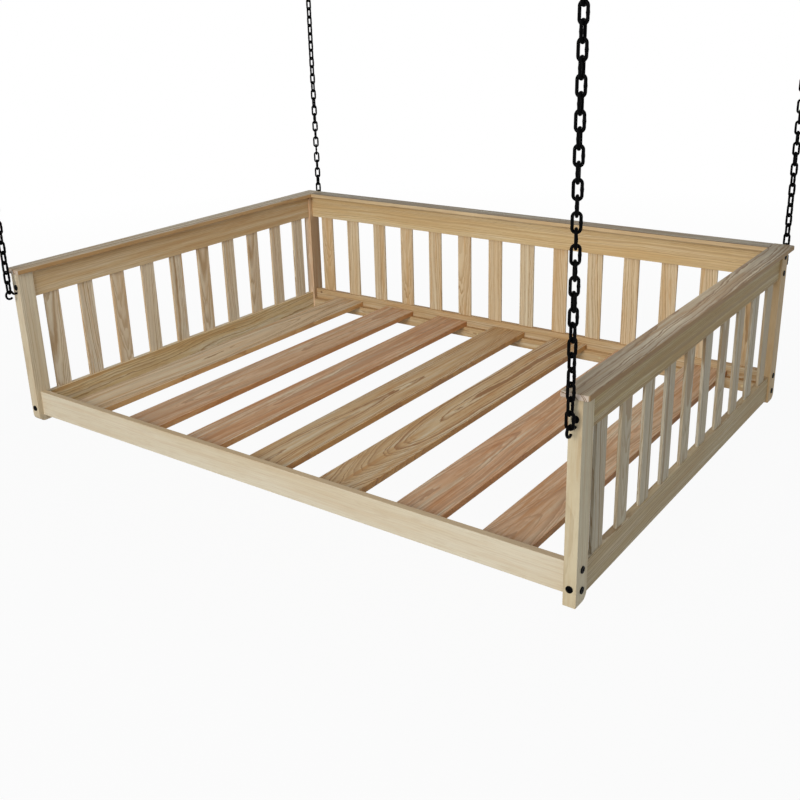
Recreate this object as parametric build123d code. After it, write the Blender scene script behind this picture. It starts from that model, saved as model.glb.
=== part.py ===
from build123d import *
import os
from math import atan2, cos, degrees, radians, sin, sqrt

# A hanging daybed swing for a full-size mattress, in millimetres.
# +X runs along the bed to the right, +Y to the back and +Z up.
# The origin lies on the ceiling plane, midway between the four ceiling hooks.

# Bed frame
bed_length = 2007.0
bed_depth = 1488.0
post_width = 33.4
post_depth = 57.0
post_height = 513.0
post_foot_radius = 23.0
post_ease = 1.5

rail_thickness = 20.0
rail_height = 83.0
top_rail_height = 88.0
side_rail_lift = 8.0
cross_rail_lift = 20.5
rail_ease = 1.2

# Cap boards on the three panels
cap_width = 67.0
cap_thickness = 15.0
cap_end_overhang = 7.0
cap_edge_radius = 3.0
cap_corner_radius = 8.0

# Upright slats, let into mortises in the rails a little outside the middle
slat_width = 57.0
slat_thickness = 8.5
slat_offset = 2.0
side_slat_count = 10
back_slat_count = 14
slat_tenon = 14.0
slat_ease = 1.0
mortise_clearance = 0.15
mortise_end_gap = 0.5

# Seat boards and the two ledgers that carry them
board_width = 140.0
board_thickness = 19.0
board_count = 7
board_end_gap = 2.0
board_ease = 1.5
ledger_thickness = 20.0
ledger_height = 38.0
ledger_lift = 3.5
ledger_end_gap = 1.0

# Connector bolts and barrel nuts that hold the rails to the posts
bolt_diameter = 6.0
bolt_head_diameter = 18.0
bolt_head_height = 2.6
bolt_head_ease = 0.8
bolt_socket_width = 5.0
bolt_socket_depth = 2.0
bolt_bite = 38.0
bolt_clearance = 0.2
cross_bolt_spacing = 54.0
side_bolt_drop = 3.0
nut_diameter = 10.0
nut_length = 14.0
nut_setback = 30.0
nut_clearance = 0.1

# Countersunk wood screws and the dowels under the caps
screw_diameter = 4.0
screw_head_diameter = 8.0
screw_head_height = 2.4
screw_clearance = 0.1
ledger_screw_bite = 14.0
board_screw_bite = 13.0
dowel_diameter = 8.0
dowel_depth_in_cap = 9.0
dowel_depth_below = 20.0
dowel_clearance = 0.1
side_cap_dowels = 3
back_cap_dowels = 5

# Screw hooks and chains
hook_wire = 7.0
hook_loop_radius = 12.5
hook_neck_radius = 7.0
hook_reach = 27.0
hook_gap_angle = 130.0
hook_drop = 65.0
hook_bite = 18.0
hook_point = 4.0
hook_clearance = 0.05
ceiling_hook_bite = 55.0
link_wire = 7.0
link_pitch = 32.8
link_width = 24.0
link_gap = 0.3
link_count = 28

# Heights of the chain, from the ceiling hooks down to the posts' feet
link_bar_span = link_pitch + link_wire
link_step = link_pitch - link_gap
hook_to_bar = (hook_wire + link_wire) / 2 + link_gap
ceiling_wire_z = -(hook_reach + hook_loop_radius)
top_bar_z = ceiling_wire_z + hook_to_bar
upper_swing_z = top_bar_z - link_bar_span
bottom_bar_z = top_bar_z - link_bar_span - (link_count - 1) * link_step
lower_swing_z = bottom_bar_z + link_bar_span
post_wire_z = bottom_bar_z + hook_to_bar
hook_z = post_wire_z - hook_loop_radius
foot_z = hook_z + hook_drop - post_height

# Places of the frame's pieces
post_x = (bed_length - post_width) / 2
post_y = (bed_depth - post_depth) / 2
slat_x = post_x + slat_offset
slat_y = post_y + slat_offset
post_top_z = foot_z + post_height
inner_length = bed_length - 2 * post_width
inner_depth = bed_depth - 2 * post_depth
side_rail_z = foot_z + side_rail_lift
cross_rail_z = foot_z + cross_rail_lift
top_rail_z = post_top_z - top_rail_height
ledger_z = cross_rail_z + ledger_lift
seat_z = ledger_z + ledger_height
chain_y = bed_depth / 2 + hook_reach
ledger_y = post_y - (rail_thickness + ledger_thickness) / 2
board_span = 2 * (post_x - rail_thickness / 2)
board_step = (board_span + board_width - 2 * rail_ease) / (board_count + 1)
board_length = 2 * post_y - rail_thickness - 2 * board_end_gap

corners = {"front_left": (-1, -1), "front_right": (1, -1), "rear_left": (-1, 1), "rear_right": (1, 1)}


def rod(axis, x, y, z, diameter, length):
    """A round bar of one diameter, centred on a point, along X, Y or Z."""
    turn = {"X": Rot(0, 90, 0), "Y": Rot(90, 0, 0), "Z": Rot(0, 0, 0)}[axis]
    return Pos(x, y, z) * turn * Cylinder(diameter / 2, length)


def bar(axis, x, y, z, size_x, size_y, size_z, ease):
    """A sawn bar, centred on a point, with its long edges eased."""
    body = Pos(x, y, z) * Box(size_x, size_y, size_z)
    return fillet(body.edges().filter_by(axis), ease)


def evenly(count, step):
    """Places of a row of pieces, centred on zero."""
    return [(number - (count - 1) / 2) * step for number in range(count)]


side_slat_places = evenly(side_slat_count, inner_depth / side_slat_count)
back_slat_places = evenly(back_slat_count, inner_length / back_slat_count)
board_places = evenly(board_count, board_step)
ledger_screw_places = evenly(board_count + 1, board_step)
side_dowel_places = evenly(side_cap_dowels, inner_depth / (side_cap_dowels + 1))
back_dowel_places = evenly(back_cap_dowels, inner_length / (back_cap_dowels + 1))

# Each bolt of the lengthwise rails: side, depth and height
cross_rail_centres = [
    (-post_y, cross_rail_z + rail_height / 2),
    (post_y, cross_rail_z + rail_height / 2),
    (post_y, top_rail_z + top_rail_height / 2),
]
cross_bolt_places = []
for rail_y, rail_centre_z in cross_rail_centres:
    for side_x in (-1, 1):
        for offset in (-cross_bolt_spacing / 2, cross_bolt_spacing / 2):
            cross_bolt_places.append((side_x, rail_y, rail_centre_z + offset))

# Each bolt of the side rails: side, end and height
side_bolt_heights = [
    side_rail_z + rail_height / 2 - side_bolt_drop,
    top_rail_z + top_rail_height / 2 - side_bolt_drop,
]
side_bolt_places = []
for side_x, side_y in corners.values():
    for height in side_bolt_heights:
        side_bolt_places.append((side_x, side_y, height))


def bolt(thickness):
    """A connector bolt along X that clamps a post of one thickness, with the head's face at zero."""
    shank_length = thickness + bolt_bite
    shank = rod("X", -shank_length / 2, 0, 0, bolt_diameter, shank_length)
    head = rod("X", bolt_head_height / 2, 0, 0, bolt_head_diameter, bolt_head_height)
    head = fillet(head.edges().group_by(Axis.X)[-1], bolt_head_ease)
    socket_plane = Plane(origin=(bolt_head_height, 0, 0), z_dir=(1, 0, 0))
    socket_outline = socket_plane * RegularPolygon(bolt_socket_width / 2, 6, major_radius=False)
    socket = extrude(socket_outline, -bolt_socket_depth)
    return shank + head - socket


def cross_bolt_at(side_x, y, z, shape):
    """Puts a piece made along X at a post's outer face, pointing out."""
    return Pos(side_x * bed_length / 2, y, z) * Rot(0, 0, 0 if side_x > 0 else 180) * shape


def side_bolt_at(side_x, side_y, z, shape):
    """Puts a piece made along X at a post's front or rear face, pointing out."""
    return Pos(side_x * post_x, side_y * bed_depth / 2, z) * Rot(0, 0, 90 * side_y) * shape


def bolt_hole(thickness):
    """The drilled hole for a connector bolt, from the post's face into the rail."""
    length = thickness + bolt_bite + bolt_clearance
    return rod("X", -length / 2, 0, 0, bolt_diameter + 2 * bolt_clearance, length)


def cross_bolt_holes():
    """Holes for all the bolts of the lengthwise rails."""
    hole = bolt_hole(post_width)
    return [cross_bolt_at(*place, hole) for place in cross_bolt_places]


def side_bolt_holes():
    """Holes for all the bolts of the side rails."""
    hole = bolt_hole(post_depth)
    return [side_bolt_at(*place, hole) for place in side_bolt_places]


def hook_hole(side_x, side_y):
    """The hole that a post's screw hook is driven into."""
    length = hook_bite + hook_point
    y = side_y * (bed_depth - length) / 2
    return rod("Y", side_x * post_x, y, hook_z, hook_wire + 2 * hook_clearance, length)


def post_dowel(side_x, side_y, allowance):
    """The dowel between a post and its cap, clear of the bolt that crosses the post's middle, or its hole."""
    return cap_dowel(side_x * post_x, side_y * (post_y + post_depth / 4), allowance)


def cap_dowel(x, y, allowance):
    """A dowel that crosses the joint under a cap, or with an allowance its hole."""
    length = dowel_depth_in_cap + dowel_depth_below + 2 * allowance
    z = post_top_z + (dowel_depth_in_cap - dowel_depth_below) / 2
    return rod("Z", x, y, z, dowel_diameter + 2 * allowance, length)


def cap_dowels(allowance):
    """All the dowels under the caps, or with an allowance their holes."""
    dowels = [post_dowel(*signs, allowance) for signs in corners.values()]
    for side_x in (-1, 1):
        dowels += [cap_dowel(side_x * post_x, y, allowance) for y in side_dowel_places]
    dowels += [cap_dowel(x, post_y, allowance) for x in back_dowel_places]
    return dowels


def post(side_x, side_y):
    """A corner post with one rounded bottom corner: in front on the left, behind on the right."""
    centre = Pos(side_x * post_x, side_y * post_y, foot_z + post_height / 2)
    body = centre * Box(post_width, post_depth, post_height)
    foot_edges = body.edges().filter_by(Axis.X).group_by(Axis.Z)[0].sort_by(Axis.Y)
    body = fillet(foot_edges[0 if side_x < 0 else -1], post_foot_radius)
    body = fillet(body.edges().filter_by(Axis.Z), post_ease)
    cuts = cross_bolt_holes() + side_bolt_holes()
    cuts += [hook_hole(side_x, side_y), post_dowel(side_x, side_y, dowel_clearance)]
    return body - cuts


def slat_size(allowance):
    """A slat's width and thickness, or with an allowance its mortise's."""
    return slat_width + 2 * allowance, slat_thickness + 2 * allowance


def mortises(along, places, rail_x, rail_y, low_edge_z, opens_up, height):
    """Mortises in a rail's upper or lower edge, in a row along X or Y."""
    width, thickness = slat_size(mortise_clearance)
    depth = slat_tenon + mortise_end_gap
    z = low_edge_z + height - depth / 2 if opens_up else low_edge_z + depth / 2
    if along == "X":
        return [Pos(rail_x + place, rail_y, z) * Box(width, thickness, depth) for place in places]
    return [Pos(rail_x, rail_y + place, z) * Box(thickness, width, depth) for place in places]


def side_nut_hole(side_x, side_y, z, reach):
    """The hole for a barrel nut, bored from a side rail's hidden edge past the bolt."""
    y = side_y * (bed_depth / 2 - post_depth - nut_setback)
    low, high = (z - nut_length / 2, reach) if reach > z else (reach, z + nut_length / 2)
    return rod("Z", side_x * post_x, y, (low + high) / 2, nut_diameter + 2 * nut_clearance, high - low)


def side_rail(side_x, low_z, height, is_top):
    """A rail that runs from front to back between two posts."""
    body = bar(Axis.Y, side_x * post_x, 0, low_z + height / 2, rail_thickness, inner_depth, height, rail_ease)
    cuts = mortises("Y", side_slat_places, side_x * slat_x, 0, low_z, not is_top, height)
    cuts += side_bolt_holes()
    hidden_edge = low_z + height if is_top else low_z
    bolt_z = side_bolt_heights[1 if is_top else 0]
    cuts += [side_nut_hole(side_x, side_y, bolt_z, hidden_edge) for side_y in (-1, 1)]
    if is_top:
        cuts += cap_dowels(dowel_clearance)
    return body - cuts


def cross_nut_hole(side_x, y, z):
    """The hole for a barrel nut, bored from a lengthwise rail's rear face past the bolt."""
    x = side_x * (inner_length / 2 - nut_setback)
    depth = (rail_thickness + nut_length) / 2
    middle = y + (rail_thickness - depth) / 2
    return rod("Y", x, middle, z, nut_diameter + 2 * nut_clearance, depth)


def cross_rail(rail_y, low_z, height):
    """A rail that runs lengthwise between two posts, with its bolt and nut holes."""
    body = bar(Axis.X, 0, rail_y, low_z + height / 2, inner_length, rail_thickness, height, rail_ease)
    cuts = cross_bolt_holes()
    cuts += [cross_nut_hole(*place) for place in cross_bolt_places if place[1] == rail_y]
    return body - cuts


def front_rail():
    """The low rail across the open front."""
    return cross_rail(-post_y, cross_rail_z, rail_height) - ledger_screws(screw_clearance)


def back_bottom_rail():
    """The lower rail of the back panel."""
    cuts = mortises("X", back_slat_places, 0, slat_y, cross_rail_z, True, rail_height)
    return cross_rail(post_y, cross_rail_z, rail_height) - (cuts + ledger_screws(screw_clearance))


def back_top_rail():
    """The upper rail of the back panel."""
    cuts = mortises("X", back_slat_places, 0, slat_y, top_rail_z, False, top_rail_height)
    return cross_rail(post_y, top_rail_z, top_rail_height) - (cuts + cap_dowels(dowel_clearance))


def slat_heights(low_rail_top_z):
    """A slat's length and middle height, from tenon to tenon."""
    low = low_rail_top_z - slat_tenon
    high = top_rail_z + slat_tenon
    return high - low, (low + high) / 2


def side_slats(side_x):
    """The upright slats of one side panel."""
    length, middle = slat_heights(side_rail_z + rail_height)
    width, thickness = slat_size(0)
    x = side_x * slat_x
    return [bar(Axis.Z, x, y, middle, thickness, width, length, slat_ease) for y in side_slat_places]


def back_slats():
    """The upright slats of the back panel."""
    length, middle = slat_heights(cross_rail_z + rail_height)
    width, thickness = slat_size(0)
    return [bar(Axis.Z, x, slat_y, middle, width, thickness, length, slat_ease) for x in back_slat_places]


def side_cap(side_x):
    """A cap board over one side panel, with its two outer corners rounded."""
    length = bed_depth + 2 * cap_end_overhang
    middle = Pos(side_x * post_x, 0, post_top_z + cap_thickness / 2)
    board = middle * Box(cap_width, length, cap_thickness)
    uprights = board.edges().filter_by(Axis.Z).sort_by(Axis.X)
    board = fillet(uprights[-2:] if side_x > 0 else uprights[:2], cap_corner_radius)
    rims = board.edges().group_by(Axis.Z)
    return fillet(rims[0] + rims[-1], cap_edge_radius) - cap_dowels(dowel_clearance)


def back_cap():
    """The cap board over the back panel, butted between the two side caps."""
    length = 2 * post_x - cap_width
    z = post_top_z + cap_thickness / 2
    board = bar(Axis.X, 0, post_y, z, length, cap_width, cap_thickness, cap_edge_radius)
    return board - cap_dowels(dowel_clearance)


def screw(length, allowance):
    """A countersunk screw along X with its head's face at zero, or with an allowance its hole."""
    shank_length = length + allowance
    shank = rod("X", -shank_length / 2, 0, 0, screw_diameter + 2 * allowance, shank_length)
    head_radius = screw_head_diameter / 2 + allowance
    cone = Cone(screw_diameter / 2 + allowance, head_radius, screw_head_height)
    return shank + Pos(-screw_head_height / 2, 0, 0) * Rot(0, 90, 0) * cone


def ledger_screws(allowance):
    """The screws that hold the ledgers to the front and back rails, or their holes."""
    piece = screw(ledger_thickness + ledger_screw_bite, allowance)
    z = ledger_z + ledger_height / 2
    inner_face = post_y - rail_thickness / 2 - ledger_thickness
    screws = []
    for side_y in (-1, 1):
        for x in ledger_screw_places:
            screws.append(Pos(x, side_y * inner_face, z) * Rot(0, 0, -90 * side_y) * piece)
    return screws


def board_screws(allowance):
    """The screws driven up through the ledgers into the seat boards, or their holes."""
    piece = screw(ledger_height + board_screw_bite, allowance)
    screws = []
    for side_y in (-1, 1):
        for x in board_places:
            screws.append(Pos(x, side_y * ledger_y, ledger_z) * Rot(0, 90, 0) * piece)
    return screws


def ledger(side_y):
    """The strip on the inside of the front or back rail that carries the seat boards."""
    length = inner_length - 2 * ledger_end_gap
    z = ledger_z + ledger_height / 2
    body = bar(Axis.X, 0, side_y * ledger_y, z, length, ledger_thickness, ledger_height, rail_ease)
    return body - (ledger_screws(screw_clearance) + board_screws(screw_clearance))


def seat_board(x):
    """One wide board of the seat, from ledger to ledger."""
    z = seat_z + board_thickness / 2
    body = bar(Axis.Y, x, 0, z, board_width, board_length, board_thickness, board_ease)
    return body - board_screws(screw_clearance)


def barrel_nuts():
    """The cross-drilled nuts that the connector bolts draw on."""
    nuts = []
    tapped = bolt_diameter + 2 * nut_clearance
    for side_x, y, z in cross_bolt_places:
        x = side_x * (inner_length / 2 - nut_setback)
        nuts.append(rod("Y", x, y, z, nut_diameter, nut_length) - rod("X", x, y, z, tapped, 2 * nut_diameter))
    for side_x, side_y, z in side_bolt_places:
        x = side_x * post_x
        y = side_y * (inner_depth / 2 - nut_setback)
        nuts.append(rod("Z", x, y, z, nut_diameter, nut_length) - rod("Y", x, y, z, tapped, 2 * nut_diameter))
    return nuts


def screw_hook(bite):
    """An open screw hook: its screw goes in along -X and its loop stands out along +X, in the XZ plane."""
    neck_run = sqrt((hook_loop_radius + hook_neck_radius) ** 2 - hook_neck_radius ** 2)
    neck_start = hook_reach - neck_run
    neck_turn = degrees(atan2(hook_neck_radius, neck_run))
    shank = rod("X", (neck_start - bite) / 2, 0, 0, hook_wire, neck_start + bite)
    point = Pos(-bite - hook_point / 2, 0, 0) * Rot(0, -90, 0) * Cone(hook_wire / 2, hook_wire / 8, hook_point)
    neck_axis = Axis((neck_start, 0, hook_neck_radius), (0, -1, 0))
    neck = revolve(wire_section(neck_start, 0, 0), neck_axis, 90 - neck_turn)
    loop_start = 180 - neck_turn
    loop_x = hook_reach + hook_loop_radius * cos(radians(loop_start))
    loop_z = hook_loop_radius * sin(radians(loop_start))
    loop_face = wire_section(loop_x, loop_z, 90 - neck_turn)
    loop = revolve(loop_face, Axis((hook_reach, 0, 0), (0, 1, 0)), loop_start + hook_gap_angle)
    return shank + point + neck + loop


def wire_section(x, z, climb):
    """The round section of a hook's wire where it runs up from +X by an angle of climb."""
    along = (cos(radians(climb)), 0, sin(radians(climb)))
    return Plane(origin=(x, 0, z), z_dir=along) * Circle(hook_wire / 2)


def post_hook(side_x, side_y):
    """The hook in a post's front or rear face, with the crest of its loop up."""
    place = Pos(side_x * post_x, side_y * bed_depth / 2, hook_z)
    return place * Rot(0, 0, 90 * side_y) * screw_hook(hook_bite)


def ceiling_hook(side_x, side_y):
    """The hook in the ceiling over a post hook, with its loop hanging down."""
    place = Pos(side_x * post_x, side_y * chain_y, 0)
    return place * Rot(0, 0, 90 * side_y) * Rot(0, 90, 0) * screw_hook(ceiling_hook_bite)


def chain_link():
    """One welded link, upright in the XZ plane, centred on zero."""
    bend_radius = (link_width - link_wire) / 2
    straight = link_bar_span - 2 * bend_radius
    section = Pos(bend_radius, 0, 0) * Circle(link_wire / 2)
    sides = [Pos(side * bend_radius, 0, 0) * Cylinder(link_wire / 2, straight) for side in (-1, 1)]
    bend = Pos(0, 0, straight / 2) * revolve(section, Axis.Y, -180)
    return bend + sides + Rot(0, 180, 0) * bend


def placed_link(side_x, side_y, number):
    """A link of one chain, counted from the top; every second link is turned a quarter.

    Both hooks face the same way, so a chain with an even count of links takes up a quarter turn,
    most of it low down.
    """
    z = top_bar_z - link_bar_span / 2 - number * link_step
    from_bottom = link_count - 1 - number
    chain_turn = 0 if link_count % 2 else 90
    twist = chain_turn * (1 - (number / (link_count - 1)) ** 2)
    turn = Rot(0, 0, 90 * (from_bottom % 2) - side_x * twist)
    return Pos(side_x * post_x, side_y * chain_y, z) * turn * chain_link()


def bolt_set(places, thickness, put):
    """Connector bolts for one set of rails."""
    piece = bolt(thickness)
    return [put(*place, piece) for place in places]


def frame_nodes():
    """The hanging bed, piece by piece."""
    nodes = {}
    for name, signs in corners.items():
        nodes["post_" + name] = post(*signs)
        nodes["post_hook_" + name] = post_hook(*signs)
    for name, side_x in (("left", -1), ("right", 1)):
        nodes[name + "_bottom_rail"] = side_rail(side_x, side_rail_z, rail_height, False)
        nodes[name + "_top_rail"] = side_rail(side_x, top_rail_z, top_rail_height, True)
        nodes[name + "_slats"] = Compound(side_slats(side_x))
        nodes[name + "_cap"] = side_cap(side_x)
    nodes["front_rail"] = front_rail()
    nodes["back_bottom_rail"] = back_bottom_rail()
    nodes["back_top_rail"] = back_top_rail()
    nodes["back_slats"] = Compound(back_slats())
    nodes["back_cap"] = back_cap()
    nodes["front_ledger"] = ledger(-1)
    nodes["back_ledger"] = ledger(1)
    for number, x in enumerate(board_places, start=1):
        nodes[f"seat_board_{number}"] = seat_board(x)
    return nodes


def fastener_nodes():
    """Bolts, nuts, screws and dowels, each kind as a group of separate solids."""
    return {
        "cross_rail_bolts": Compound(bolt_set(cross_bolt_places, post_width, cross_bolt_at)),
        "side_rail_bolts": Compound(bolt_set(side_bolt_places, post_depth, side_bolt_at)),
        "barrel_nuts": Compound(barrel_nuts()),
        "ledger_screws": Compound(ledger_screws(0)),
        "board_screws": Compound(board_screws(0)),
        "cap_dowels": Compound(cap_dowels(0)),
    }


def chain_nodes():
    """The ceiling hooks and the four chains, with the end links apart from the run between them."""
    nodes = {}
    for name, signs in corners.items():
        nodes["ceiling_hook_" + name] = ceiling_hook(*signs)
        nodes["top_link_" + name] = placed_link(*signs, 0)
        nodes["chain_" + name] = Compound([placed_link(*signs, number) for number in range(1, link_count - 1)])
        nodes["bottom_link_" + name] = placed_link(*signs, link_count - 1)
    return nodes


os.makedirs("parts", exist_ok=True)
for node_name, shape in (frame_nodes() | fastener_nodes() | chain_nodes()).items():
    export_step(shape, f"parts/{node_name}.step")

print("chain lines at x", post_x, "y", chain_y)
print("pivot heights", ceiling_wire_z, upper_swing_z, lower_swing_z, post_wire_z)
print("foot", foot_z, "seat", seat_z + board_thickness, "post top", post_top_z)
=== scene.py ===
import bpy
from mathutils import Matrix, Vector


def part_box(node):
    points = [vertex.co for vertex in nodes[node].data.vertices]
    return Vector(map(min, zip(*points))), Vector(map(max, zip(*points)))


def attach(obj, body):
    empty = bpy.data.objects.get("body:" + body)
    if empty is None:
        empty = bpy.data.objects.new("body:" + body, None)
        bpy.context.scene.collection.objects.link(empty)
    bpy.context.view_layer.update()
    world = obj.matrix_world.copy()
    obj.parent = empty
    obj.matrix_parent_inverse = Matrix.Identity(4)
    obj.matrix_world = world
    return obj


bl_info = {
    "name": "Porch swing bed",
    "version": (1, 0, 0),
    "blender": (4, 5, 0),
    "location": "3D View > Sidebar > Porch swing",
    "description": "Finishes a hanging pine daybed, its chains and hooks, and sets its stage",
    "category": "Object",
}

from math import cos, pi, radians, sin
from random import Random

import bpy
from bpy.props import FloatProperty, FloatVectorProperty, PointerProperty
from bpy.types import Operator, Panel, PropertyGroup
from mathutils import Matrix, Vector

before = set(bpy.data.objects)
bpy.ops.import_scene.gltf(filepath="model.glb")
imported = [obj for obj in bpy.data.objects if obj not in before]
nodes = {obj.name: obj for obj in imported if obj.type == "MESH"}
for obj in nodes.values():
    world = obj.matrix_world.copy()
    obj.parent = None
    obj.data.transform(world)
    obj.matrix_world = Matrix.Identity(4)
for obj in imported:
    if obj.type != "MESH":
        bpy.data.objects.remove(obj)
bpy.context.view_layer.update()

CORNERS = ("front_left", "front_right", "rear_left", "rear_right")
LINK_COUNT = 28
LINK_WIDTH = 0.024
WIRE_RADIUS = 0.0035
SLAT_WIDTH = 0.057
IMAGE_SIDE = 800
SENSOR_WIDTH = 36.0

# Grain of a plank sawn well beside the pith
STRAIGHT = {"aside": 0.2, "taper": 0.008, "wave": 0.03}

# Shares of a plank's colour in its broad patches, in its short flecks, and in the warmest of a row of slats
WARM_PATCH = (0.86, 0.75, 0.60)
FLECK = (0.70, 0.54, 0.40)
WARM_SLAT = (0.86, 0.70, 0.54)

# Above a post's middle: where its head begins to take up its painted light, and where it has all of it
HEAD_START, HEAD_FULL = 0.150, 0.185

foot_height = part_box("post_front_left")[0].z


# Settings

def tone(label, meaning, colour):
    """A colour that the sidebar shows."""
    return FloatVectorProperty(
        name=label, description=meaning, subtype="COLOR", size=3, min=0.0, max=1.0, default=colour
    )


class PineLook(PropertyGroup):
    """Colours and grain of the unfinished pine."""

    ivory: tone("Ivory", "The front rail", (0.69, 0.605, 0.46))
    # Pearl is partly the slats' own pale wood and partly painted light: it is paler to stand for the light
    # that falls on the inside of the left-hand panel.
    pearl: tone("Pearl", "Left-hand slats, the palest planks", (0.72, 0.645, 0.515))
    linen: tone("Linen", "Right-hand slats", (0.565, 0.52, 0.412))
    cream: tone("Cream", "The front left post", (0.64, 0.555, 0.41))
    butter: tone("Butter", "The front right post", (0.67, 0.58, 0.41))
    barley: tone("Barley", "Back slats", (0.72, 0.60, 0.41))
    wheat: tone("Wheat", "The upper back rail and the lower left-hand rail", (0.66, 0.50, 0.272))
    honey: tone("Honey", "The lower back rail, upper left-hand rail and ledgers", (0.595, 0.435, 0.245))
    # The caps' tones are greyer than their wood: this is painted sheen, the grey that a grazing view of the
    # sky gives their tops. The back cap's top is also painted darker, as if in shade.
    umber: tone("Umber", "The left-hand cap", (0.64, 0.565, 0.44))
    ash: tone("Ash", "The back cap", (0.37, 0.33, 0.262))
    slate: tone("Slate", "The right-hand cap", (0.40, 0.335, 0.245))
    sage: tone("Sage", "The lower right-hand rail", (0.485, 0.38, 0.215))
    olive: tone("Olive", "The upper right-hand rail", (0.505, 0.385, 0.187))
    # Rose is partly the rear left post's own reddish wood and partly painted shade: it is dark for the
    # post's inner side, which lies in shade beside the back panel.
    shaded_rose: tone("Rose", "The rear left post", (0.42, 0.27, 0.147))
    flax: tone("Flax", "The first seat board", (0.76, 0.60, 0.41))
    russet: tone("Russet", "The paler reddish seat boards", (0.68, 0.45, 0.285))
    brick: tone("Brick", "The darker reddish seat boards", (0.65, 0.40, 0.236))
    straw: tone("Straw", "The yellow seat boards", (0.61, 0.425, 0.233))
    pale_streak: tone("Pale streak", "Slow-grown streaks in every plank", (0.74, 0.66, 0.49))
    late_wood: tone("Late wood", "Share of a plank's colour that late wood keeps", (0.44, 0.29, 0.16))
    resin: tone("Resin", "Share of a plank's colour in its resin streaks", (0.74, 0.52, 0.31))
    edge: tone("Sawn edge", "Share of a plank's colour on its narrow edges", (0.81, 0.60, 0.37))
    end_grain: tone("End grain", "Sawn ends of the planks", (0.64, 0.53, 0.45))
    knot: tone("Knot", "Heart of a knot", (0.16, 0.075, 0.032))
    ring_width: FloatProperty(
        name="Ring width", description="Growth of the tree in a year", unit="LENGTH", min=0.001,
        default=0.0065,
    )


class SteelLook(PropertyGroup):
    """Finish of the chains, hooks and bolts."""

    coat: tone("Coat", "Black powder coat", (0.0016, 0.0016, 0.0018))
    zinc: tone("Zinc", "Yellow plating of the nuts and screws", (0.58, 0.46, 0.26))
    coat_roughness: FloatProperty(
        name="Coat roughness", description="How dull the black coat is", min=0.0, max=1.0, default=0.42
    )


class StageLook(PropertyGroup):
    """Camera, light and floor."""

    camera_right: FloatProperty(
        name="Camera right", description="From the bed's middle along X", unit="LENGTH", default=1.8466
    )
    camera_front: FloatProperty(
        name="Camera front", description="From the bed's middle along -Y", unit="LENGTH", default=2.5479
    )
    camera_height: FloatProperty(
        name="Camera height", description="Above the posts' feet", unit="LENGTH", default=1.3342
    )
    heading: FloatProperty(
        name="Heading", description="Turn of the view from +Y", subtype="ANGLE", default=radians(-36.247)
    )
    pitch: FloatProperty(
        name="Pitch", description="Tilt of the view from level", subtype="ANGLE", default=radians(-19.859)
    )
    roll: FloatProperty(
        name="Roll", description="Turn of the picture", subtype="ANGLE", default=radians(-1.622)
    )
    focal_pixels: FloatProperty(
        name="Focal length", description="In pixels of the picture", default=1008.9
    )
    centre_x: FloatProperty(
        name="Centre across", description="Pixel that the lens axis meets", default=397.7
    )
    centre_y: FloatProperty(
        name="Centre down", description="Pixel that the lens axis meets", default=353.86
    )
    floor_drop: FloatProperty(
        name="Floor drop", description="Floor below the posts' feet", unit="LENGTH", min=0.0, default=0.34
    )
    key_power: FloatProperty(
        name="Key light", description="Power of the main lamp", unit="POWER", min=0.0, default=345.0
    )
    fill_power: FloatProperty(
        name="Fill light", description="Power of the soft lamp", unit="POWER", min=0.0, default=6.0
    )
    sky_strength: FloatProperty(
        name="Sky light", description="Strength of the light from all round", min=0.0, default=0.54
    )


# Materials

class Term:
    """A value in a material that takes part in sums."""

    def __init__(self, finish, socket):
        self.finish = finish
        self.socket = socket

    def other(self, name):
        """Another output of the same node."""
        return Term(self.finish, self.socket.node.outputs[name])

    def __add__(self, value):
        return self.finish.math("ADD", self, value)

    __radd__ = __add__

    def __sub__(self, value):
        return self.finish.math("SUBTRACT", self, value)

    def __rsub__(self, value):
        return self.finish.math("SUBTRACT", value, self)

    def __mul__(self, value):
        return self.finish.math("MULTIPLY", self, value)

    __rmul__ = __mul__

    def __truediv__(self, value):
        return self.finish.math("DIVIDE", self, value)

    def __pow__(self, value):
        return self.finish.math("POWER", self, value)

    def __abs__(self):
        return self.finish.math("ABSOLUTE", self)


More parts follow.
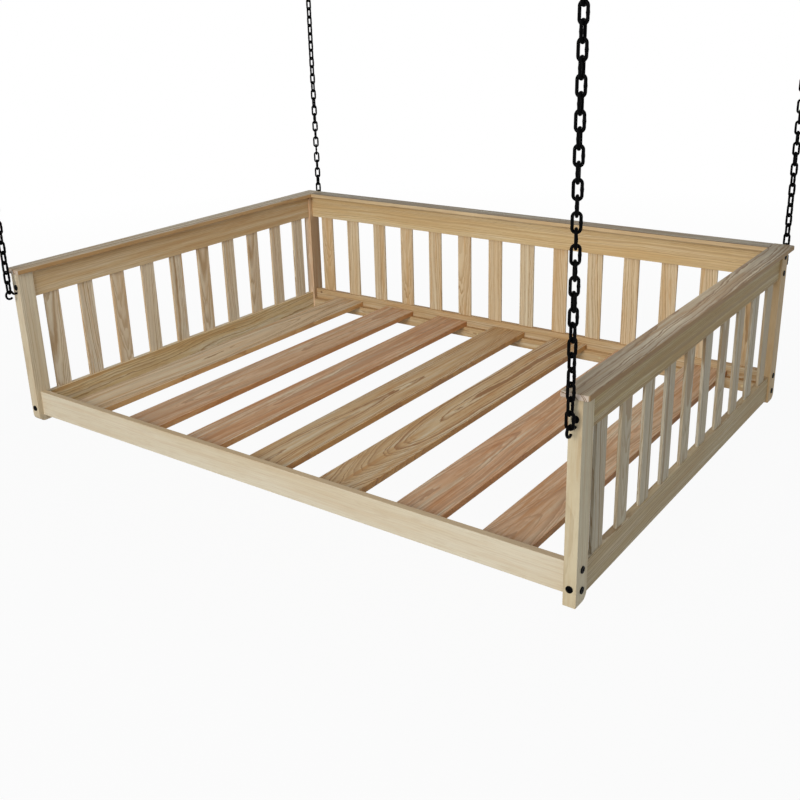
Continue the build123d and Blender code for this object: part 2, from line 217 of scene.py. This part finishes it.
class Finish:
    """Builds the nodes of one material or of the world."""

    def __init__(self, owner):
        owner.use_nodes = True
        self.owner = owner
        self.tree = owner.node_tree
        self.tree.nodes.clear()

    def node(self, kind, settings=None, sockets=None, out=0):
        """Adds a node with its settings and then its sockets, and gives one of its outputs."""
        node = self.tree.nodes.new(kind)
        for name, value in (settings or {}).items():
            if name == "stops":
                set_stops(node.color_ramp, value)
            else:
                setattr(node, name, value)
        for name, value in (sockets or {}).items():
            if isinstance(value, Term):
                self.tree.links.new(value.socket, node.inputs[name])
            else:
                node.inputs[name].default_value = value
        return Term(self, node.outputs[out]) if node.outputs else None

    def math(self, operation, *values):
        """A sum on single values."""
        return self.node("ShaderNodeMath", {"operation": operation}, dict(enumerate(values)))

    def mix(self, share, first, second, blend="MIX"):
        """One colour into another by a share."""
        settings = {"data_type": "RGBA", "blend_type": blend}
        return self.node("ShaderNodeMix", settings, {0: share, 6: first, 7: second}, out=2)

    def stretch(self, vector, scale):
        """A vector with each part scaled."""
        return self.node("ShaderNodeVectorMath", {"operation": "MULTIPLY"}, {0: vector, 1: scale})

    def noise(self, vector, detail=2.0, rough=0.5, scale=1.0):
        """Smooth noise from 0 to 1."""
        return self.node(
            "ShaderNodeTexNoise", None,
            {"Vector": vector, "Scale": scale, "Detail": detail, "Roughness": rough},
        )

    def dice(self, value, out=0):
        """A random value for each whole number."""
        return self.node("ShaderNodeTexWhiteNoise", {"noise_dimensions": "1D"}, {"W": value}, out=out)

    def ramp(self, value, stops):
        """A value through a curve of (place, height) stops."""
        return self.node("ShaderNodeValToRGB", {"stops": stops}, {0: value})

    def around(self, along, across, radius, longer):
        """One on an oval so many times longer than it is wide, less inside it and more outside."""
        return (along / (longer * radius)) ** 2 + (across / radius) ** 2

    def surface(self, sockets):
        """The shader, and its link to the material's output."""
        shader = self.node("ShaderNodeBsdfPrincipled", None, sockets)
        self.node("ShaderNodeOutputMaterial", None, {"Surface": shader})
        return self.owner


def set_stops(ramp, stops):
    """Gives a ramp its grey stops."""
    while len(ramp.elements) < len(stops):
        ramp.elements.new(0.5)
    for element, (place, height) in zip(ramp.elements, stops):
        element.position = place
        element.color = (height, height, height, 1.0)


def opaque(colour):
    """A colour with full alpha."""
    return (*colour[:3], 1.0)


def tinted(colour, tint):
    """A colour times a tint."""
    return opaque([part * share for part, share in zip(colour, tint)])


def pine(
    name, axes, middle, wood, seed, depth=0.03, aside=0.0, taper=0.03, wave=0.07, streaks=0.6, lines=0.6,
    flecks=0.3, rings=1.0, edge=0.5, rim=None, calm=0.0, head=None, row=None, knots=(), swells=(),
):
    """Sawn pine: yearly rings round a pith beside the plank, so faces, edges and ends all agree.

    axes names the plank's length, width and thickness, and middle is its centre.
    The pith lies at a depth below the plank and so far aside, and waves from side to side along it.
    taper is how fast the stem thins along the plank, and swells of it are (length, height, spread).
    Both show as arches.
    streaks, lines and flecks are how strong the pale and resin streaks, the late wood and the flecks are.
    rings is the width of the rings against the sidebar's.
    edge is how far the narrow edges take up their own tint, the sidebar's or that of rim; some rims paint
    light, sheen or shade on those edges.
    calm is how plain the narrow edges are.
    head is the tint of the wide faces at a post's upper end, beside the rails: painted light, lighter there
    as if lit than the shaded face below.
    row is the pitch of like planks that stand side by side along their width.
    knots are (length, width, radius).
    """
    look = bpy.context.scene.swing_pine
    f = Finish(bpy.data.materials.new(name))
    place = f.node("ShaderNodeTexCoord", out="Object")
    parts = f.node("ShaderNodeSeparateXYZ", None, {0: place})
    length, width, thickness = [parts.other(axis) - middle["XYZ".index(axis)] for axis in axes]
    draw = Random(seed)
    if row is None:
        luck = [draw.random() for _ in range(3)]
        side = aside
    else:
        number = f.math("ROUND", width / row)
        width = width - number * row
        drawn = f.dice(number + seed, "Color")
        split = f.node("ShaderNodeSeparateXYZ", None, {0: drawn})
        luck = [split.other(axis) for axis in "XYZ"]
        side = luck[0] * aside
    start = length + 3.7 * luck[0] + seed
    spot = f.node("ShaderNodeCombineXYZ", None, {0: start, 1: width, 2: thickness})

    sway = f.node("ShaderNodeSeparateXYZ", None, {
        0: f.noise(f.stretch(spot, (1.7, 0.0, 0.0)), 1.0).other("Color")
    })
    beside = width + side + (luck[1] * 0.05 - 0.025) + (sway.other("X") - 0.5) * wave
    below = thickness + depth * (luck[2] * 0.9 + 0.55) + (sway.other("Y") - 0.5) * 0.02
    wobble = (f.noise(f.stretch(spot, (9.0, 45.0, 45.0)), 3.0, 0.55) - 0.5) * 0.010
    ripple = (f.noise(f.stretch(spot, (22.0, 90.0, 90.0)), 2.0, 0.5) - 0.5) * 0.004
    reach = f.math("SQRT", beside * beside + below * below)
    reach = reach + length * (luck[0] * 2.0 - 1.0) * taper + wobble + ripple
    for swell_length, height, spread in swells:
        reach = reach + f.math("EXPONENT", ((length - swell_length) / spread) ** 2 * -1.0) * height
    for knot_length, knot_width, knot_radius in knots:
        away = f.around(length - knot_length, width - knot_width, knot_radius, 1.9)
        reach = reach + f.math("EXPONENT", away * -0.45) * knot_radius * 1.3

    pace = f.node(
        "ShaderNodeTexNoise", {"noise_dimensions": "1D"}, {"W": reach + seed, "Scale": 55.0, "Detail": 1.0}
    )
    years = reach / (look.ring_width * rings) + pace * 2.6
    year = f.math("FLOOR", years)
    season = [(0.0, 0.0), (0.32, 0.04), (0.60, 0.5), (0.76, 1.0), (0.93, 1.0), (1.0, 0.0)]
    growth = f.ramp(years - year, season)
    vigour = f.dice(year) * 0.7 + 0.3
    dash = f.noise(f.stretch(spot, (10.0, 95.0, 95.0)), 4.0, 0.7)
    streak = f.noise(f.stretch(spot, (2.4, 62.0, 62.0)), 4.0, 0.62)
    mottle = streak * 0.68 + dash * 0.32
    if row is not None:
        mottle = mottle + (luck[1] - 0.5) * 0.10
    patch = f.noise(f.stretch(spot, (1.8, 14.0, 14.0)), 2.0)
    late = growth * vigour * (streak * 1.5 + 0.3)

    facing = f.node("ShaderNodeSeparateXYZ", None, {0: place.other("Normal")})
    sawn_end = f.ramp(abs(facing.other(axes[0])), [(0.55, 0.0), (0.85, 1.0)])
    sawn_edge = f.ramp(abs(facing.other(axes[1])), [(0.55, 0.0), (0.85, 1.0)])

    shown = 1.0 - sawn_edge * calm
    pale = f.ramp(mottle, [(0.50, 0.0), (0.60, 1.0)]) * shown
    resin = f.ramp(mottle, [(0.40, 1.0), (0.48, 0.0)]) * shown
    colour = f.mix(pale * streaks * 0.8, opaque(wood), opaque(look.pale_streak))
    colour = f.mix(resin * streaks * 0.85, colour, tinted(wood, look.resin))
    colour = f.mix(f.ramp(patch, [(0.35, 0.0), (0.68, 1.0)]) * 0.5, colour, tinted(wood, WARM_PATCH))
    colour = f.mix(sawn_end * 0.8, colour, opaque(look.end_grain))
    colour = f.mix(late * shown * lines, colour, tinted(wood, look.late_wood))
    colour = f.mix(f.ramp(dash, [(0.50, 0.0), (0.66, 1.0)]) * flecks, colour, tinted(wood, FLECK))
    if row is not None:
        colour = f.mix(luck[2] * 0.45, colour, tinted(wood, WARM_SLAT))
    # Painted light: the wide faces of a post's head, beside the rails, are tinted lighter as if lit there.
    if head is not None:
        upper = f.ramp(length, [(HEAD_START, 0.0), (HEAD_FULL, 1.0)])
        colour = f.mix(upper * (1.0 - sawn_edge), colour, opaque(head), "MULTIPLY")
    colour = f.mix(sawn_edge * edge, colour, opaque(rim or look.edge), "MULTIPLY")
    for knot_length, knot_width, knot_radius in knots:
        away = f.around(length - knot_length, width - knot_width, knot_radius, 1.25)
        heart = f.ramp(away + dash * 0.5, [(0.45, 1.0), (1.0, 0.55), (1.35, 0.0)])
        colour = f.mix(heart * 0.85, colour, opaque(look.knot))

    relief = late * 0.5 + dash * 0.5
    bump = f.node("ShaderNodeBump", None, {"Strength": 0.35, "Distance": 0.0006, "Height": relief})
    roughness = 0.56 + dash * 0.14 - late * 0.10
    return f.surface({
        "Base Color": colour, "Roughness": roughness, "Normal": bump, "Specular IOR Level": 0.3,
    })


def black_coat(name):
    """Black powder coat: fine orange peel, slightly dusty."""
    look = bpy.context.scene.swing_steel
    f = Finish(bpy.data.materials.new(name))
    place = f.node("ShaderNodeTexCoord", out="Object")
    peel = f.noise(place, 2.0, 0.5, 900.0)
    dust = f.noise(place, 3.0, 0.6, 45.0)
    colour = f.mix((dust - 0.4) * 0.5, opaque(look.coat), tinted(look.coat, (2.4, 2.3, 2.2)))
    bump = f.node("ShaderNodeBump", None, {"Strength": 0.25, "Distance": 0.0003, "Height": peel})
    return f.surface({
        "Base Color": colour, "Roughness": look.coat_roughness + (dust - 0.5) * 0.25, "Normal": bump,
        "Specular IOR Level": 0.02,
    })


def zinc_plate(name):
    """Plated steel, faintly clouded."""
    look = bpy.context.scene.swing_steel
    f = Finish(bpy.data.materials.new(name))
    place = f.node("ShaderNodeTexCoord", out="Object")
    cloud = f.noise(place, 3.0, 0.6, 160.0)
    colour = f.mix(cloud * 0.4, opaque(look.zinc), tinted(look.zinc, (0.75, 0.74, 0.68)))
    return f.surface({"Base Color": colour, "Metallic": 1.0, "Roughness": 0.32 + cloud * 0.2})


# Pieces

def dress(node, material):
    """Gives a piece its finish."""
    slots = nodes[node].data.materials
    slots.clear()
    slots.append(material)


def middle_of(node):
    """The centre of a piece."""
    low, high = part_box(node)
    return (low + high) / 2


def dress_plank(node, axes, wood, seed, **grain):
    """Gives a single plank its own grain."""
    dress(node, pine("pine_" + node, axes, middle_of(node), wood, seed, **grain))


class SWING_OT_posts(Operator):
    """Finish the four corner posts"""

    bl_idname = "swing.posts"
    bl_label = "Posts"

    def execute(self, context):
        look = context.scene.swing_pine
        woods = (look.cream, look.butter, look.shaded_rose, look.honey)
        # Painted light and shade on the posts' front and back faces: the rear left post's front is painted
        # much lighter, as if lit, against the dark tone that stands for shade on its inner side; the front
        # right post's are tinted a little darker.
        front_face_light = {"front_right": (0.91, 0.89, 0.85), "rear_left": (1.70, 1.90, 2.30)}
        # Painted light on the rear left post's head, lighter beside the rails than its shaded inner face
        # below.
        head_lights = {"rear_left": (1.45, 1.60, 1.75)}
        for number, (corner, wood) in enumerate(zip(CORNERS, woods)):
            dress_plank(
                "post_" + corner, "ZYX", wood, 11 + number, lines=0.5, streaks=0.4, edge=1.0,
                rim=front_face_light.get(corner, (1.0, 1.0, 1.0)), head=head_lights.get(corner), **STRAIGHT,
            )
        return {"FINISHED"}


class SWING_OT_rails(Operator):
    """Finish the rails of the panels, the front rail and the ledgers"""

    bl_idname = "swing.rails"
    bl_label = "Rails"

    def execute(self, context):
        look = context.scene.swing_pine
        # Painted sheen: this rim lightens and cools the rail's top and bottom faces, as the sky's sheen on
        # its top would.
        dress_plank(
            "left_bottom_rail", "YZX", look.wheat, 31, aside=0.05, taper=0.03, wave=0.10, streaks=1.0,
            lines=0.9, flecks=0.7, rings=1.5, edge=1.0, rim=(1.2, 1.3, 1.55), calm=0.7,
        )
        dress_plank("left_top_rail", "YZX", look.honey, 35, lines=0.35, edge=0.0, **STRAIGHT)
        # Painted sheen: this rim lightens and cools the rail's top and bottom faces, as the sky's sheen on
        # its top would.
        dress_plank(
            "right_bottom_rail", "YZX", look.sage, 32, lines=0.9, edge=1.0, rim=(1.25, 1.3, 1.5), **STRAIGHT,
        )
        dress_plank("right_top_rail", "YZX", look.olive, 36, lines=1.0, **STRAIGHT)
        dress_plank("front_rail", "XZY", look.ivory, 41, streaks=0.3, lines=0.16, **STRAIGHT)
        back_knots = [(-0.945, 0.028, 0.006), (0.90, -0.01, 0.012)]
        dress_plank("back_bottom_rail", "XZY", look.honey, 42, knots=back_knots, **STRAIGHT)
        dress_plank("back_top_rail", "XZY", look.wheat, 43, streaks=0.4, **STRAIGHT)
        dress_plank("front_ledger", "XZY", look.honey, 44)
        dress_plank("back_ledger", "XZY", look.honey, 45)
        return {"FINISHED"}


class SWING_OT_caps(Operator):
    """Finish the cap boards"""

    bl_idname = "swing.caps"
    bl_label = "Caps"

    def execute(self, context):
        look = context.scene.swing_pine
        figure = {
            "aside": 0.06, "taper": 0.02, "wave": 0.04, "streaks": 1.0, "lines": 1.4, "rings": 1.4,
            "edge": 1.0, "calm": 0.8,
        }
        # Painted sheen: each cap's grey tone stands for the sky's sheen on its top; the rims and the
        # sidebar's edge tint give the edges warmer wood colours, and the back cap's rim lifts its front edge
        # back to tan.
        dress_plank("left_cap", "YXZ", look.umber, 51, rim=(0.715, 0.50, 0.29), **figure)
        dress_plank("right_cap", "YXZ", look.slate, 52, **figure)
        dress_plank("back_cap", "XYZ", look.ash, 53, rim=(1.62, 1.38, 1.04), **figure)
        return {"FINISHED"}


class SWING_OT_slats(Operator):
    """Finish the upright slats, each with its own grain"""

    bl_idname = "swing.slats"
    bl_label = "Slats"

    def execute(self, context):
        look = context.scene.swing_pine
        rows = {
            # The left-hand slats' pearl is partly painted light, for the light on the inside of their panel.
            "left_slats": (10, look.pearl, 1.0, 0.8),
            "right_slats": (10, look.linen, 0.5, 0.0),
            "back_slats": (14, look.barley, 1.0, 0.0),
        }
        for number, (node, (count, wood, streaks, edge)) in enumerate(rows.items()):
            axes = "ZXY" if node == "back_slats" else "ZYX"
            across = "XYZ".index(axes[1])
            low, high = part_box(node)
            pitch = (high[across] - low[across] - SLAT_WIDTH) / (count - 1)
            first = middle_of(node)
            first[across] = low[across] + SLAT_WIDTH / 2
            dress(node, pine(
                "pine_" + node, axes, first, wood, 64 + number, aside=0.12, taper=0.08, wave=0.04,
                streaks=streaks, lines=0.9, edge=edge, rim=(1.0, 0.86, 0.70), row=pitch,
            ))
        return {"FINISHED"}


class SWING_OT_seat(Operator):
    """Finish the seat boards"""

    bl_idname = "swing.seat"
    bl_label = "Seat boards"

    def execute(self, context):
        look = context.scene.swing_pine
        woods = (look.flax, look.russet, look.brick, look.straw, look.straw, look.brick, look.russet)
        swells = {
            1: [(0.7, 0.05, 0.5)],
            5: [(-0.78, 0.12, 0.34)],
            6: [(0.1, 0.05, 0.4)],
            7: [(-0.3, 0.05, 0.4)],
        }
        for number, wood in enumerate(woods, start=1):
            reddish = number in (2, 3, 6, 7)
            dress_plank(
                f"seat_board_{number}", "YXZ", wood, 70 + number, depth=0.018, taper=0.05, streaks=1.0,
                lines=0.6 if reddish else 1.0, flecks=0.8 if reddish else 0.4, rings=1.7,
                edge=1.0, calm=0.5, swells=swells.get(number, ()),
            )
        return {"FINISHED"}


def add_piece(name, vertices, faces, body, material):
    """A smooth black steel piece that moves with a body."""
    mesh = bpy.data.meshes.new(name)
    mesh.from_pydata(vertices, [], faces)
    mesh.polygons.foreach_set("use_smooth", [True] * len(faces))
    mesh.materials.append(material)
    piece = bpy.data.objects.new(name, mesh)
    bpy.context.scene.collection.objects.link(piece)
    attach(piece, body)


def weld_bead(centre, draw):
    """The low collar where a link's wire was welded, upright, as vertices and faces."""
    sides = 14
    # Height and radius, in millimetres
    profile = [
        (-5.4, 3.2), (-4.4, 3.72), (-1.5, 3.86), (-0.6, 4.12),
        (0.5, 4.16), (1.4, 3.88), (4.5, 3.7), (5.3, 3.2),
    ]
    rings = len(profile)
    vertices, faces = [], []
    for height, radius in profile:
        for side in range(sides):
            angle = 2 * pi * side / sides
            bump = radius + draw.uniform(-0.05, 0.05)
            vertices.append(centre + Vector((bump * cos(angle), bump * sin(angle), height)) / 1000)
    for ring in range(rings - 1):
        for side in range(sides):
            after = (side + 1) % sides
            low, high = ring * sides, (ring + 1) * sides
            faces.append((low + side, low + after, high + after, high + side))
    faces.append(tuple(reversed(range(sides))))
    faces.append(tuple(range((rings - 1) * sides, rings * sides)))
    return vertices, faces


def link_turn(corner, number):
    """How far a link is turned about the chain.

    Every second link is turned a quarter, and the chain takes up a quarter more on its way down.
    """
    side = -1 if corner.endswith("left") else 1
    from_bottom = LINK_COUNT - 1 - number
    twist = 90 * (1 - (number / (LINK_COUNT - 1)) ** 2)
    return radians(90 * (from_bottom % 2) - side * twist)


def add_welds(corner, material):
    """A weld on one leg of every link of a chain."""
    top, bottom = middle_of("top_link_" + corner), middle_of("bottom_link_" + corner)
    leg = LINK_WIDTH / 2 - WIRE_RADIUS
    draw = Random(CORNERS.index(corner))
    groups = {"top_link_": [0], "chain_": range(1, LINK_COUNT - 1), "bottom_link_": [LINK_COUNT - 1]}
    for kind, numbers in groups.items():
        vertices, faces = [], []
        for number in numbers:
            turn = link_turn(corner, number)
            link = top.lerp(bottom, number / (LINK_COUNT - 1))
            centre = link + Vector((leg * cos(turn), leg * sin(turn), 0.0))
            new_vertices, new_faces = weld_bead(centre, draw)
            faces += [[len(vertices) + point for point in face] for face in new_faces]
            vertices += new_vertices
        add_piece(kind + corner + "_welds", vertices, faces, kind + corner, material)


class SWING_OT_chains(Operator):
    """Finish the four chains and add the links' welds"""

    bl_idname = "swing.chains"
    bl_label = "Chains"

    def execute(self, context):
        coat = black_coat("chain_black")
        for corner in CORNERS:
            for kind in ("top_link_", "chain_", "bottom_link_"):
                dress(kind + corner, coat)
            add_welds(corner, coat)
        return {"FINISHED"}


def add_thread(corner, material):
    """The screw thread on the stud of a ceiling hook."""
    steps, pitch = 24, 0.0028
    start, end = 0.004, 0.054
    root, foot, height_of_crest, half_width = 0.0033, 0.0034, 0.0008, 0.0008
    axis = middle_of("top_link_" + corner)
    count = round((end - start) / pitch * steps)
    vertices, faces = [], []
    for step in range(count + 1):
        angle = 2 * pi * step / steps
        height = start + pitch * step / steps
        rise = min(1.0, step / steps, (count - step) / steps)
        crest = foot + height_of_crest * rise
        for radius, lift in ((root, -half_width), (crest, 0.0), (root, half_width)):
            vertices.append((axis.x + radius * cos(angle), axis.y + radius * sin(angle), height + lift))
    for step in range(count):
        for side in range(3):
            after = (side + 1) % 3
            low, high = step * 3, step * 3 + 3
            faces.append((low + side, high + side, high + after, low + after))
    faces.append((0, 1, 2))
    faces.append((count * 3 + 2, count * 3 + 1, count * 3))
    add_piece("ceiling_hook_" + corner + "_thread", vertices, faces, "ceiling_hooks", material)


class SWING_OT_hooks(Operator):
    """Finish the post hooks and the ceiling hooks, and cut the threads of their studs"""

    bl_idname = "swing.hooks"
    bl_label = "Hooks"

    def execute(self, context):
        coat = black_coat("hook_black")
        for corner in CORNERS:
            dress("post_hook_" + corner, coat)
            dress("ceiling_hook_" + corner, coat)
            add_thread(corner, coat)
        return {"FINISHED"}


class SWING_OT_fasteners(Operator):
    """Finish the bolts, nuts, screws and dowels"""

    bl_idname = "swing.fasteners"
    bl_label = "Fasteners"

    def execute(self, context):
        coat = black_coat("bolt_black")
        zinc = zinc_plate("zinc_plate")
        for node in ("cross_rail_bolts", "side_rail_bolts"):
            dress(node, coat)
        for node in ("barrel_nuts", "ledger_screws", "board_screws"):
            dress(node, zinc)
        dress_plank("cap_dowels", "ZXY", context.scene.swing_pine.honey, 91)
        return {"FINISHED"}


# Stage

def seen_straight(f):
    """One where the camera, a reflection or glass looks straight at a thing."""
    path = f.node("ShaderNodeLightPath", out="Is Camera Ray")
    through = f.math("MAXIMUM", path.other("Is Glossy Ray"), path.other("Is Transmission Ray"))
    return f.math("MAXIMUM", path, through)


def floor_material():
    """A white floor that keeps a soft shadow near the bed."""
    f = Finish(bpy.data.materials.new("floor_white"))
    place = f.node("ShaderNodeTexCoord", out="Object")
    flat = f.stretch(place, (1.0, 1.0, 0.0))
    away = f.node("ShaderNodeVectorMath", {"operation": "LENGTH"}, {0: flat}, out="Value")
    far = f.ramp(away / 10.0, [(0.2, 0.0), (0.6, 1.0)])
    paper = f.node("ShaderNodeBsdfDiffuse", None, {"Color": (0.72, 0.72, 0.72, 1.0)})
    glow = f.node("ShaderNodeEmission", None, {"Color": (1.0, 1.0, 1.0, 1.0), "Strength": 1.0})
    white = seen_straight(f) * (far * 0.06 + 0.94)
    both = f.node("ShaderNodeMixShader", None, {0: white, 1: paper, 2: glow})
    f.node("ShaderNodeOutputMaterial", None, {"Surface": both})
    return f.owner


def make_floor(drop):
    """The floor under the hanging bed."""
    half_side = 40.0
    z = foot_height - drop
    corners = [(-half_side, -half_side, z), (half_side, -half_side, z), (half_side, half_side, z),
               (-half_side, half_side, z)]
    mesh = bpy.data.meshes.new("floor")
    mesh.from_pydata(corners, [], [(0, 1, 2, 3)])
    floor = bpy.data.objects.new("floor", mesh)
    bpy.context.scene.collection.objects.link(floor)
    floor.data.materials.append(floor_material())


def make_world(strength):
    """Even light from all round, dimmer from above, and white where it is looked at."""
    world = bpy.data.worlds.new("studio")
    f = Finish(world)
    way = f.node("ShaderNodeSeparateXYZ", None, {0: f.node("ShaderNodeTexCoord", out="Generated")})
    level = f.ramp(way.other("Z"), [(0.0, 1.0), (0.35, 0.80), (1.0, 0.36)])
    level = level * (way.other("X") * 0.45 + 1.0) * strength
    sky = f.node("ShaderNodeBackground", None, {"Color": (0.80, 0.91, 1.0, 1.0), "Strength": level})
    white = f.node("ShaderNodeBackground", None, {"Color": (1.0, 1.0, 1.0, 1.0)})
    both = f.node("ShaderNodeMixShader", None, {0: seen_straight(f), 1: sky, 2: white})
    f.node("ShaderNodeOutputWorld", None, {"Surface": both})
    bpy.context.scene.world = world


def soft_box(name, power, sides, colour, place, aim):
    """A rectangular lamp that faces a point."""
    lamp = bpy.data.lights.new(name, "AREA")
    lamp.energy = power
    lamp.shape = "RECTANGLE"
    lamp.size, lamp.size_y = sides
    lamp.color = colour
    lamp_object = bpy.data.objects.new(name, lamp)
    bpy.context.scene.collection.objects.link(lamp_object)
    lamp_object.location = place
    lamp_object.rotation_euler = (place - aim).to_track_quat("Z", "Y").to_euler()
    lamp_object.visible_camera = False


def make_lamps(key_power, fill_power):
    """The main light from the front, and a long soft light over the seat towards the left-hand panel."""
    panel = Vector((-0.95, 0.0, foot_height + 0.25))
    seat = Vector((0.0, 0.0, foot_height + 0.30))
    key_place = Vector((1.1, -7.3, foot_height + 2.9))
    fill_place = Vector((0.45, 0.0, foot_height + 1.6))
    soft_box("key", key_power, (3.0, 3.0), (1.0, 0.98, 0.94), key_place, seat)
    soft_box("fill", fill_power, (0.6, 2.0), (1.0, 0.93, 0.84), fill_place, panel)


def make_camera(look):
    """The camera at the photograph's viewpoint."""
    lens = bpy.data.cameras.new("camera")
    lens.sensor_width = SENSOR_WIDTH
    lens.lens = look.focal_pixels / IMAGE_SIDE * SENSOR_WIDTH
    lens.shift_x = (IMAGE_SIDE / 2 - look.centre_x) / IMAGE_SIDE
    lens.shift_y = (look.centre_y - IMAGE_SIDE / 2) / IMAGE_SIDE
    ahead = Vector((
        sin(look.heading) * cos(look.pitch), cos(look.heading) * cos(look.pitch), sin(look.pitch)
    ))
    level_right = Vector((cos(look.heading), -sin(look.heading), 0.0))
    level_up = level_right.cross(ahead)
    right = cos(look.roll) * level_right + sin(look.roll) * level_up
    up = -sin(look.roll) * level_right + cos(look.roll) * level_up
    camera = bpy.data.objects.new("camera", lens)
    turn = Matrix((right, up, -ahead)).transposed().to_4x4()
    place = Vector((look.camera_right, -look.camera_front, foot_height + look.camera_height))
    camera.matrix_world = Matrix.Translation(place) @ turn
    bpy.context.scene.collection.objects.link(camera)
    bpy.context.scene.camera = camera


class SWING_OT_stage(Operator):
    """Set the floor, the light and the camera"""

    bl_idname = "swing.stage"
    bl_label = "Stage"

    def execute(self, context):
        look = context.scene.swing_stage
        context.scene.view_settings.view_transform = "Standard"
        make_floor(look.floor_drop)
        make_world(look.sky_strength)
        make_lamps(look.key_power, look.fill_power)
        make_camera(look)
        return {"FINISHED"}


PIECES = (
    SWING_OT_posts, SWING_OT_rails, SWING_OT_caps, SWING_OT_slats, SWING_OT_seat,
    SWING_OT_chains, SWING_OT_hooks, SWING_OT_fasteners, SWING_OT_stage,
)


class SWING_PT_sidebar(Panel):
    """Lists the pieces and their settings"""

    bl_label = "Porch swing"
    bl_idname = "SWING_PT_sidebar"
    bl_space_type = "VIEW_3D"
    bl_region_type = "UI"
    bl_category = "Porch swing"

    def draw(self, context):
        for piece in PIECES:
            self.layout.operator(piece.bl_idname)
        for look in (context.scene.swing_pine, context.scene.swing_steel, context.scene.swing_stage):
            box = self.layout.box()
            for name in look.__annotations__:
                box.prop(look, name)


CLASSES = (PineLook, SteelLook, StageLook, *PIECES, SWING_PT_sidebar)


def register():
    """Makes the settings, operators and panel known to Blender."""
    for item in CLASSES:
        bpy.utils.register_class(item)
    bpy.types.Scene.swing_pine = PointerProperty(type=PineLook)
    bpy.types.Scene.swing_steel = PointerProperty(type=SteelLook)
    bpy.types.Scene.swing_stage = PointerProperty(type=StageLook)


def unregister():
    """Takes them away again."""
    del bpy.types.Scene.swing_pine
    del bpy.types.Scene.swing_steel
    del bpy.types.Scene.swing_stage
    for item in reversed(CLASSES):
        bpy.utils.unregister_class(item)


def main():
    """Finishes every piece and sets the stage."""
    register()
    bpy.ops.swing.posts()
    bpy.ops.swing.rails()
    bpy.ops.swing.caps()
    bpy.ops.swing.slats()
    bpy.ops.swing.seat()
    bpy.ops.swing.chains()
    bpy.ops.swing.hooks()
    bpy.ops.swing.fasteners()
    bpy.ops.swing.stage()


if __name__ == "__main__":
    main()
